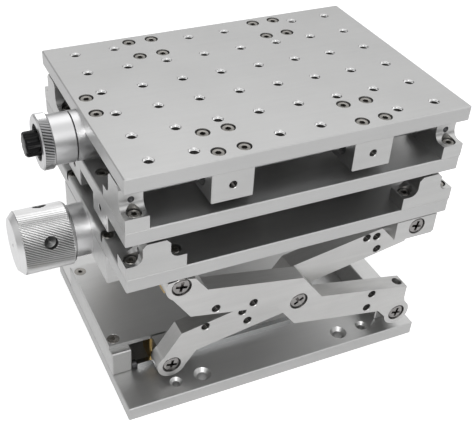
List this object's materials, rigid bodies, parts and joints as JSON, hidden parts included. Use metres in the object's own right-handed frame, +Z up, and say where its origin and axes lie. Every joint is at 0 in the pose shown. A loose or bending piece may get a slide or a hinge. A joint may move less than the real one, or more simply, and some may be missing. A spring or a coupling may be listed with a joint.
{
  "type": "x-y-z positioning table",
  "caption": "Hand-driven positioning table: a scissor lift turned by a side screw carries crossed shaft slides and a tapped aluminium table.",
  "frame": {"origin": "underside of the base, below the middle of the table", "axes": "+X along the table's long side, away from the lift knob; +Y to the back, towards the Y knob; +Z up"},
  "size_m": [0.2543, 0.1886, 0.1785],
  "materials": {
    "plate_aluminium": "satin, bead-blasted",
    "milled_aluminium": "satin, milled",
    "arm_aluminium": "satin, ground faces",
    "turned_aluminium": "fine-turned, bright",
    "shaft_steel": "ground and polished",
    "screw_steel": "threaded, oiled",
    "dark_steel": "blackened",
    "nickel": "nickel plated",
    "brass": "satin",
    "black_grip": "fluted, matt"
  },
  "bodies": {
    "base": {"base_plate": "plate_aluminium", "base_end_block": "milled_aluminium", "base_guide_rails": "shaft_steel", "slider_cover": "plate_aluminium", "cover_screws": "dark_steel", "base_pivot_bar": "milled_aluminium", "base_pivot_screws": "nickel", "base_screws": "dark_steel", "stop_screws": "dark_steel"},
    "outer_arms": {"outer_arm_front": "arm_aluminium", "outer_arm_rear": "arm_aluminium"},
    "inner_arms": {"inner_arm_front": "arm_aluminium", "inner_arm_rear": "arm_aluminium", "centre_pivot_screws": "nickel"},
    "upper_crosshead": {"upper_crosshead": "milled_aluminium", "z_nut": "brass", "upper_slide_shoes": "brass", "upper_slide_pivot_screws": "nickel"},
    "lower_crosshead": {"lower_crosshead": "milled_aluminium", "lower_slide_shoes": "brass", "lower_slide_pivot_screws": "nickel"},
    "lift_table": {"lift_plate": "plate_aluminium", "lift_plate_screws": "dark_steel", "lift_lugs": "milled_aluminium", "upper_pivot_screws": "nickel", "z_bearing_panel": "milled_aluminium", "z_bearing_flange": "turned_aluminium", "z_flange_screws": "dark_steel", "y_shafts": "shaft_steel", "y_shaft_supports": "milled_aluminium", "y_support_set_screws": "dark_steel", "y_nut_bracket": "milled_aluminium", "y_nut": "brass"},
    "z_screw": {"z_lead_screw": "screw_steel", "z_knob": "turned_aluminium"},
    "y_stage": {"middle_plate": "plate_aluminium", "middle_plate_screws": "dark_steel", "y_bearing_blocks": "milled_aluminium", "y_bushes": "shaft_steel", "x_shafts": "shaft_steel", "x_shaft_supports": "milled_aluminium", "x_support_set_screws": "dark_steel", "x_nut_bracket": "milled_aluminium", "x_nut": "brass", "y_screw_housing": "turned_aluminium"},
    "y_knob": {"y_lead_screw": "screw_steel", "y_handwheel": "turned_aluminium", "y_thumb_screw": "black_grip"},
    "x_stage": {"top_plate": "plate_aluminium", "top_plate_screws": "dark_steel", "x_bearing_blocks": "milled_aluminium", "x_bushes": "shaft_steel", "x_screw_housing": "turned_aluminium"},
    "x_knob": {"x_lead_screw": "screw_steel", "x_handwheel": "turned_aluminium", "x_thumb_screw": "black_grip"}
  },
  "joints": [
    {"name": "lift", "type": "hinge", "parent": "base", "child": "outer_arms", "pos_m": [0.0848, 0, 0.0245], "axis": [0, 1, 0], "range_deg": [-14.3, 7.09]},
    {"name": "arm_crossing", "type": "hinge", "parent": "outer_arms", "child": "inner_arms", "pos_m": [0.00623, 0, 0.06115], "axis": [0, 1, 0], "range_deg": [-14.18, 28.6]},
    {"name": "lift_level", "type": "hinge", "parent": "inner_arms", "child": "lift_table", "pos_m": [0.0848, 0, 0.0978], "axis": [0, 1, 0], "range_deg": [-14.3, 7.09]},
    {"name": "upper_crosshead_level", "type": "hinge", "parent": "outer_arms", "child": "upper_crosshead", "pos_m": [-0.07235, 0, 0.0978], "axis": [0, 1, 0], "range_deg": [-7.09, 14.3]},
    {"name": "lower_crosshead_level", "type": "hinge", "parent": "inner_arms", "child": "lower_crosshead", "pos_m": [-0.07235, 0, 0.0245], "axis": [0, 1, 0], "range_deg": [-14.3, 7.09]},
    {"name": "lift_screw_turn", "type": "hinge", "parent": "lift_table", "child": "z_screw", "pos_m": [-0.1333, 0, 0.095], "axis": [1, 0, 0], "range_deg": [-936, 1885]},
    {"name": "y_travel", "type": "slide", "parent": "lift_table", "child": "y_stage", "axis": [0, 1, 0], "range_m": [-0.024, 0.024]},
    {"name": "x_travel", "type": "slide", "parent": "y_stage", "child": "x_stage", "axis": [1, 0, 0], "range_m": [-0.035, 0.035]},
    {"name": "x_knob_turn", "type": "hinge", "parent": "x_stage", "child": "x_knob", "pos_m": [-0.12, 0, 0.1614], "axis": [1, 0, 0], "range_deg": [-3151, 3151]},
    {"name": "y_knob_turn", "type": "hinge", "parent": "y_stage", "child": "y_knob", "pos_m": [0, 0.09, 0.1278], "axis": [0, 1, 0], "range_deg": [-2161, 2161]}
  ],
  "couplings": [
    {"joint": "arm_crossing", "follows": "lift", "ratio": -2},
    {"joint": "lift_level", "follows": "lift", "ratio": 1},
    {"joint": "upper_crosshead_level", "follows": "lift", "ratio": -1},
    {"joint": "lower_crosshead_level", "follows": "lift", "ratio": 1},
    {"joint": "lift_screw_turn", "follows": "lift", "ratio": -131.74},
    {"joint": "x_knob_turn", "follows": "x_travel", "rad_per_m": 1570.8},
    {"joint": "y_knob_turn", "follows": "y_travel", "rad_per_m": 1570.8}
  ]
}
